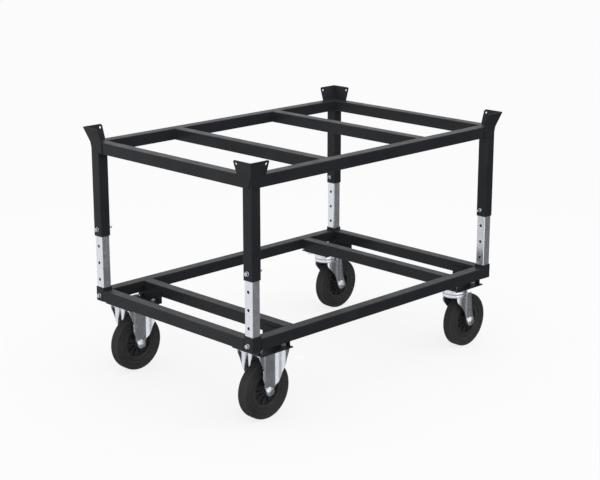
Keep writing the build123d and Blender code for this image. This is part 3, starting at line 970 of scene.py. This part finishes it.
@dataclass
class SwivelHousing:
    """Swivel caster: plate with its upper race, and a fork whose legs rake back from the bowl."""

    name: str
    centre: Vector
    offset: float = 55.0
    sheet: float = 3.5
    axle_height: float = 100.0
    foot_radius: float = 19.2
    leg_top: float = 212.0
    flat: float = 33.0
    boss_radius: float = 15.5
    boss_rise: float = 2.4
    boss_flank: float = 3.0
    pin_radius: float = 6.05
    front: Section = ((90, 36), (100, 35.6), (114, 29.5), (141, 15), (167, -8.5), (186, -26.5),
                      (194, -28.5), (220, -29))
    back: Section = ((90, 75), (100, 74.4), (114, 69), (130, 64), (165, 58), (212, 54), (220, 54))
    edge_blur: float = 6.0
    bowl_side: Section = ((-43.4, 14.5), (-38.5, 24.6), (-31, 33.5), (-22, 39.2), (-12, 42.2),
                          (2, 42), (14, 39.6), (26, 36))
    turns: int = 128

    def _head(self) -> Shape:
        """Top plate with the domed upper race revolved under it."""
        angle = np.linspace(0, TAU / 4, 10)
        dome = np.stack([40.0 + 6.0 * np.cos(angle), 228.0 + 11.6 * np.sin(angle)], axis=1)
        lip = [(44.8, 218.0), (45.7, 218.5), (46.0, 219.6), (46.0, 223.0), (45.6, 224.2)]
        inside = [(30, 239.6), (30, 214.6), (39.4, 214.6), (40, 215.2), (40, 218.0)]
        race = revolved(np.concatenate([inside, lip, dome]), self.turns)
        return Shape.joined([TopPlate().shape(), race])

    def _bowl(self) -> Shape:
        """The fork's bowl: floor, rounded rolled edge and upright wall, revolved about the pin."""
        angle = np.linspace(0, TAU / 4, 9)
        roll = np.stack([40.5 + 5.5 * np.sin(angle), 208.5 - 5.5 * np.cos(angle)], axis=1)
        wall = [(46.0, 215.3), (45.6, 216.2), (44.9, 216.5), (43.0, 216.5), (42.2, 216.1),
                (42.0, 215.2)]
        floor = [(42.0, 208.2), (41.0, 207.0), (self.pin_radius, 207.0), (self.pin_radius, 203.0)]
        return revolved(np.concatenate([roll, wall, floor]), self.turns)

    def _plan(self) -> Array:
        """The leg's outer face seen from above: round the bowl, then a flat with a shallow joggle.

        The line is set to equal steps, then each point becomes the mean of the reach before it,
        itself and the reach after it, which rounds the corners.

        Returns:
            Points (x, y), from front to back.
        """
        near, far, reach = self.flat, self.flat + 1.0, 4
        foot_side = ((36, near), (44, near), (48, far), (82, far))
        run = resampled(np.array(self.bowl_side + foot_side), 240)
        kernel = np.full(2 * reach + 1, 1 / (2 * reach + 1))
        ends = np.pad(run, ((reach, reach), (0, 0)), mode="edge")
        return np.stack([np.convolve(column, kernel, "valid") for column in ends.T], axis=1)

    def _edges(self, z: Array) -> tuple[Array, Array]:
        """Front and back edge of the leg at each height, as x from the king pin.

        Above the axle both follow straight runs with rounded corners; below it they are the
        foot's circle, x = offset -+ sqrt(foot^2 - (z - axle)^2).

        Args:
            z: Heights.

        Returns:
            The front x and the back x.
        """
        foot = half_chord(self.foot_radius, z - self.axle_height)
        share = smooth_step((z - self.axle_height + 2) / 6)
        front = blurred_line(self.front, z, self.edge_blur) * share
        back = blurred_line(self.back, z, self.edge_blur) * share
        rest = 1 - share
        return front + (self.offset - foot) * rest, back + (self.offset + foot) * rest

    def _leg(self) -> Shape:
        """One leg: a vertical sheet over the plan line, cut between its front and back edges.

        The point (u, z) lies on the plan line at the length between front(z) and back(z) that u
        divides, plus a raised boss round the axle; the inner face is moved in along the normal.

        Returns:
            The leg on the +Y side.
        """
        plan = self._plan()
        run = run_length(plan)
        low = self.axle_height - self.foot_radius
        z = heights(low, self.leg_top, 80)
        front, back = self._edges(z)
        s_front, s_back = np.interp(front, plan[:, 0], run), np.interp(back, plan[:, 0], run)
        u = np.linspace(0, 1, 81)[:, None]
        s = s_front + u * (s_back - s_front)
        reach = 0.3
        (x, slope_x), (y, slope_y) = (
            (np.interp(s, run, column),
             np.interp(s + reach, run, column) - np.interp(s - reach, run, column))
            for column in plan.T)
        size = np.hypot(slope_x, slope_y)
        z = z[None, :] + 0 * x
        away = np.hypot(x - self.offset, z - self.axle_height)
        boss = self.boss_rise * smooth_step((self.boss_radius - away) / self.boss_flank)
        outer = np.stack([x, y + boss, z], axis=-1)
        inward = np.stack([slope_y / size, -slope_x / size, 0 * z], axis=-1)
        return slab(outer, outer + self.sheet * inward)

    def build(self, shop: Workshop) -> None:
        """Make the fixed head and the turning fork.

        Args:
            shop: Where pieces are made.
        """
        place = Matrix.Translation(self.centre)
        head = self._head().placed(place)
        shop.piece(f"swivel_head_plate_{self.name}", head, "lower_frame", Slot.ZINC_SHEET,
                   (f"swivel_top_plate_{self.name}",))
        leg = self._leg()
        fork = Shape.joined([self._bowl(), leg, leg.mirrored_y()]).placed(place)
        shop.piece(f"swivel_housing_{self.name}", fork, f"swivel_head_{self.name}", Slot.ZINC_SHEET,
                   (f"swivel_fork_{self.name}",), bevel=0.5, bend=50.0)
        LOG.info("swivel housing %s", self.name)


# ---------------------------------------------------------------- frames
@dataclass
class WeldBeads:
    """Rippled weld beads along the inside corners of tube joints, joined into one piece a body."""

    name: str
    body: str
    radius: float = 2.0
    ripple: float = 0.28
    pitch: float = 2.1
    around: int = 10
    beads: list[Shape] = field(default_factory=list)

    def run(self, start: tuple[float, float, float], end: tuple[float, float, float]) -> None:
        """Add one bead between two points.

        Its radius is radius * (0.55 + 0.45 sqrt(sin(pi t))) with an arched ripple,
        ripple * |sin(pi s / pitch)|, where s is the length run and t its share of the whole.

        Args:
            start: First end.
            end: Other end.
        """
        a, b = np.array(start, float), np.array(end, float)
        length = float(np.linalg.norm(b - a))
        t = np.linspace(0, 1, max(12, int(length / self.pitch * 6)))
        swell = 0.55 + 0.45 * np.sqrt(np.sin(np.pi * t))
        ripple = self.ripple * np.abs(np.sin(np.pi * t * length / self.pitch))
        radius = self.radius * swell + ripple
        ahead = (b - a) / length
        no_bead_runs_so = [0.31, 0.52, 0.79]
        side = np.cross(ahead, no_bead_runs_so)
        side /= np.linalg.norm(side)
        angle = np.linspace(0, TAU, self.around, endpoint=False)
        ring = np.stack([np.cos(angle), np.sin(angle)], axis=1)
        path = a + t[:, None] * (b - a)
        rings = ring[None] * radius[:, None, None]
        self.beads.append(carried(rings, path, side, np.cross(ahead, side)))

    def build(self, shop: Workshop) -> None:
        """Make the piece.

        Args:
            shop: Where pieces are made.
        """
        shop.piece(self.name, Shape.joined(self.beads), self.body, Slot.POWDER)
        LOG.info("%s: %d beads", self.name, len(self.beads))


@dataclass
class FrameWorks:
    """Softened tubes, plates and guides of both frames, and the welds that join them."""

    middle: Vector
    tube: float = 40.0
    clear: float = 1.0
    soft_edges: dict[str, float] = field(default_factory=lambda: {
        "corner_guide": 0.7, "caster_brackets": 0.8, "corner_sockets": 0.4, "sleeve_leg": 0.4,
        "inner_leg": 0.35})
    guide_bend: float = 15.0
    tube_bend: float = 40.0

    def soften(self, shop: Workshop) -> None:
        """Round the sharp edges of painted and galvanised nodes.

        Args:
            shop: Where pieces are made.
        """
        for body, nodes in shop.frame["record"]["behaviour"]["bodies"].items():
            for node in nodes:
                match = [size for start, size in self.soft_edges.items() if node.startswith(start)]
                if match:
                    slot = Slot.GALVANISED if node.startswith("inner_leg") else Slot.POWDER
                    bend = self.guide_bend if "guide" in node else self.tube_bend
                    shop.softened(node, body, slot, match[0], bend)

    def weld(self, shop: Workshop) -> None:
        """Lay the beads of both frames: in the corners, across the mitres and beside the bars.

        The upper frame's top stays plain, because the pallet stands on it. Each bead stops clear
        of the edges that it runs towards.

        Args:
            shop: Where pieces are made.
        """
        inner_x, inner_y = self._inner_corner("upper_end_rail_front", "upper_side_rail_left")
        for frame, bar in (("upper", "cross_bar"), ("lower", "cross_rail")):
            low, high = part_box(f"{frame}_side_rail_left")
            z0, z1 = low.z / MM, high.z / MM
            welds = WeldBeads(f"{frame}_frame_welds", f"{frame}_frame")
            bar_low, bar_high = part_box(f"{frame}_{bar}_front")
            bar_x = [bar_low.x / MM - self.middle.x, bar_high.x / MM - self.middle.x]
            for sx in (-1, 1):
                for sy in (-1, 1):
                    x, y = self.middle.x + sx * inner_x, sy * inner_y
                    near, far = 2 * self.clear, self.tube - 3 * self.clear
                    welds.run((x, y, z0 + self.clear), (x, y, z1 - self.clear))
                    for z in (z0, z1) if frame == "lower" else (z0,):
                        welds.run((x, y + sy * near, z), (x, y + sy * far, z))
                        welds.run((x + sx * near, y, z), (x + sx * far, y, z))
                    for edge in bar_x:
                        at = self.middle.x + sx * edge
                        welds.run((at, y, z0 + self.clear), (at, y, z1 - self.clear))
            welds.build(shop)

    def _inner_corner(self, end_rail: str, side_rail: str) -> tuple[float, float]:
        """Where the inner faces of an end rail and a side rail meet, from the frame's middle.

        Args:
            end_rail: Rail along Y at +X.
            side_rail: Rail along X at +Y.

        Returns:
            The corner's x and y, in millimetres.
        """
        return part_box(end_rail)[0].x / MM - self.middle.x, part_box(side_rail)[0].y / MM


# ---------------------------------------------------------------- studio
@dataclass
class Studio:
    """Pale floor, soft surrounding light and the camera."""

    azimuth: float = -44.903
    elevation: float = 15.24
    lens: float = 88.85
    distance: float = 5.305
    shift_right: float = 0.01906
    shift_up: float = 0.10087
    target: Vector = field(default_factory=lambda: Vector((-0.0293, 0.0, 0.34358)))
    paper_white: float = 0.965
    paper_share: float = 0.17
    paper_albedo: float = 0.135
    bright_side: tuple[float, float, float] = (-0.90, 0.43, 0.0)
    wall_side: tuple[float, float, float] = (0.68, 0.70, 0.22)
    dim: float = 0.10
    bright: float = 1.03
    wall: float = 0.85
    ceiling: float = 1.00
    ground: float = 0.35
    key_from: tuple[float, float, float] = (-0.15, -0.90, 0.80)
    key_spread: float = 120.0
    key_power: float = 2.2
    sensor: float = 36.0
    floor_rings: tuple[float, ...] = (0.02, 2.0, 6.0, 20.0, 90.0)
    fade_start: float = 1.2
    fade_end: float = 3.0
    bright_ramp: tuple[float, float] = (-1.0, 0.9)
    wall_ramp: tuple[float, float] = (0.3, 0.95)
    ceiling_ramp: tuple[float, float] = (0.35, 0.85)
    ground_ramp: tuple[float, float] = (-0.95, -0.35)

    def _axes(self) -> tuple[Vector, Vector, Vector]:
        """The camera's right, up and backward directions."""
        a, e = radians(self.azimuth), radians(self.elevation)
        back = Vector((sin(a) * cos(e), -cos(a) * cos(e), sin(e)))
        right = Vector((cos(a), sin(a), 0.0))
        return right, back.cross(right), back

    def camera(self) -> None:
        """Place the camera."""
        right, up, back = self._axes()
        data = bpy.data.cameras.new("camera")
        data.lens, data.sensor_width = self.lens, self.sensor
        data.clip_start, data.clip_end = 0.1, 100.0
        camera = bpy.data.objects.new("camera", data)
        bpy.context.scene.collection.objects.link(camera)
        shift = right * self.shift_right + up * self.shift_up
        camera.location = self.target + back * self.distance + shift
        camera.rotation_euler = Matrix((right, up, back)).transposed().to_euler()
        bpy.context.scene.camera = camera

    def floor(self) -> None:
        """Pale floor: a wide disc that glows evenly and takes only a faint share of the shadows.

        Its own light is paper_white less what the diffuse share sends back, and past fade_end it is
        plain paper_white, so it meets the sky without an edge.
        """
        angle = np.linspace(0, TAU, 97)[:-1]
        radius = np.array(self.floor_rings)
        ring = np.stack([np.cos(angle), np.sin(angle), 0 * angle], axis=1)
        grid = Shape.grid(radius[:, None, None] * ring[None], along=True)
        mesh = bpy.data.meshes.new("studio_floor")
        mesh.from_pydata(grid.points.tolist(), [], grid.quads.tolist())
        floor = bpy.data.objects.new("studio_floor", mesh)
        bpy.context.scene.collection.objects.link(floor)
        floor.visible_diffuse = floor.visible_glossy = False
        g = Graph("pale_paper")
        glow, soft = g.node("ShaderNodeEmission"), g.node("ShaderNodeBsdfDiffuse")
        glow.inputs["Strength"].default_value = self.paper_white - self.paper_share
        soft.inputs["Color"].default_value = (*(self.paper_albedo,) * 3, 1.0)
        both, plain = g.node("ShaderNodeAddShader"), g.node("ShaderNodeEmission")
        mix = g.node("ShaderNodeMixShader")
        plain.inputs["Strength"].default_value = self.paper_white
        g.link(glow.outputs[0], both.inputs[0])
        g.link(soft.outputs[0], both.inputs[1])
        away = g.node("ShaderNodeVectorMath", operation="LENGTH")
        g.link(g.place, away.inputs[0])
        faded = g.spread(away.outputs["Value"], 0.0, 1.0, self.fade_start, self.fade_end)
        g.link(faded, mix.inputs[0])
        g.link(both.outputs[0], mix.inputs[1])
        g.link(plain.outputs[0], mix.inputs[2])
        g.link(mix.outputs[0], g.material.node_tree.nodes["Material Output"].inputs["Surface"])
        mesh.materials.append(g.material)

    def sky(self) -> None:
        """Surrounding light: bright at the rigid end, on the far side and above, else dim.

        With d the direction, the level goes smoothly from dim to bright as d . bright_side grows,
        to wall near wall_side, to ceiling as d.z grows and to ground as it falls. What the camera
        sees directly is the even paper_white.
        """
        world = bpy.data.worlds.new("studio_world")
        bpy.context.scene.world = world
        world.use_nodes = True
        tree = world.node_tree

        def node(kind: str, **settings: object) -> bpy.types.Node:
            """A node of the world's tree."""
            made = tree.nodes.new(kind)
            for key, value in settings.items():
                setattr(made, key, value)
            return made

        def ramp(value: bpy.types.NodeSocket, ends: tuple[float, float]) -> bpy.types.NodeSocket:
            """Smooth step of a value between two ends."""
            made = node("ShaderNodeMapRange", interpolation_type="SMOOTHSTEP")
            for key, end in zip(("From Min", "From Max"), ends):
                made.inputs[key].default_value = end
            tree.links.new(value, made.inputs["Value"])
            return made.outputs["Result"]

        def mixed(share: bpy.types.NodeSocket, first: float | bpy.types.NodeSocket,
                  second: float | bpy.types.NodeSocket) -> bpy.types.NodeSocket:
            """Mix of two levels."""
            made = node("ShaderNodeMix", data_type="FLOAT")
            tree.links.new(share, made.inputs[0])
            for socket, value in ((made.inputs[2], first), (made.inputs[3], second)):
                if isinstance(value, float):
                    socket.default_value = value
                else:
                    tree.links.new(value, socket)
            return made.outputs[0]

        def facing(direction: tuple[float, float, float]) -> bpy.types.NodeSocket:
            """How nearly the looked-at direction is the given one, from -1 to 1."""
            made = node("ShaderNodeVectorMath", operation="DOT_PRODUCT")
            made.inputs[1].default_value = direction
            tree.links.new(toward, made.inputs[0])
            return made.outputs["Value"]

        toward = node("ShaderNodeTexCoord").outputs["Generated"]
        split = node("ShaderNodeSeparateXYZ")
        tree.links.new(toward, split.inputs[0])
        level = mixed(ramp(facing(self.bright_side), self.bright_ramp), self.dim, self.bright)
        level = mixed(ramp(facing(self.wall_side), self.wall_ramp), level, self.wall)
        level = mixed(ramp(split.outputs["Z"], self.ceiling_ramp), level, self.ceiling)
        level = mixed(ramp(split.outputs["Z"], self.ground_ramp), self.ground, level)
        background = tree.nodes["Background"]
        seen = node("ShaderNodeLightPath").outputs["Is Camera Ray"]
        tree.links.new(mixed(seen, level, self.paper_white), background.inputs["Strength"])
        background.inputs["Color"].default_value = (1.0, 1.0, 1.0, 1.0)

    def key(self) -> None:
        """Very soft light from above the right long side, where the surrounding light is dim."""
        data = bpy.data.lights.new("key", "SUN")
        data.angle, data.energy = radians(self.key_spread), self.key_power
        light = bpy.data.objects.new("key", data)
        bpy.context.scene.collection.objects.link(light)
        light.rotation_euler = Vector(self.key_from).to_track_quat("Z", "Y").to_euler()

    def build(self) -> None:
        """Set up the whole studio."""
        self.camera()
        self.floor()
        self.sky()
        self.key()
        bpy.context.scene.view_settings.view_transform = "Standard"


def middle_of(node: str) -> Vector:
    """Centre of a CAD node's box, in millimetres."""
    low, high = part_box(node)
    return (low + high) / 2 / MM


def main() -> None:
    """Build every class in order, then the studio."""
    logging.basicConfig(level=logging.INFO, format="%(message)s")
    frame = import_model()
    shop = Workshop(frame)
    shop.dress()
    for side in ("right", "left"):
        for end in ("rear", "front"):
            body = f"wheel_{end}_{side}"
            Wheel(f"{end}_{side}", body, middle_of(f"tyre_{end}_{side}")).build(shop)
        rigid, swivel = middle_of(f"rigid_fork_{side}"), middle_of(f"swivel_top_plate_{side}")
        RigidHousing(side, Vector((rigid.x, rigid.y, 0))).build(shop)
        SwivelHousing(side, Vector((swivel.x, swivel.y, 0))).build(shop)
    works = FrameWorks(middle_of("upper_side_rail_left"))
    works.soften(shop)
    works.weld(shop)
    Studio().build()


if __name__ == "__main__":
    main()
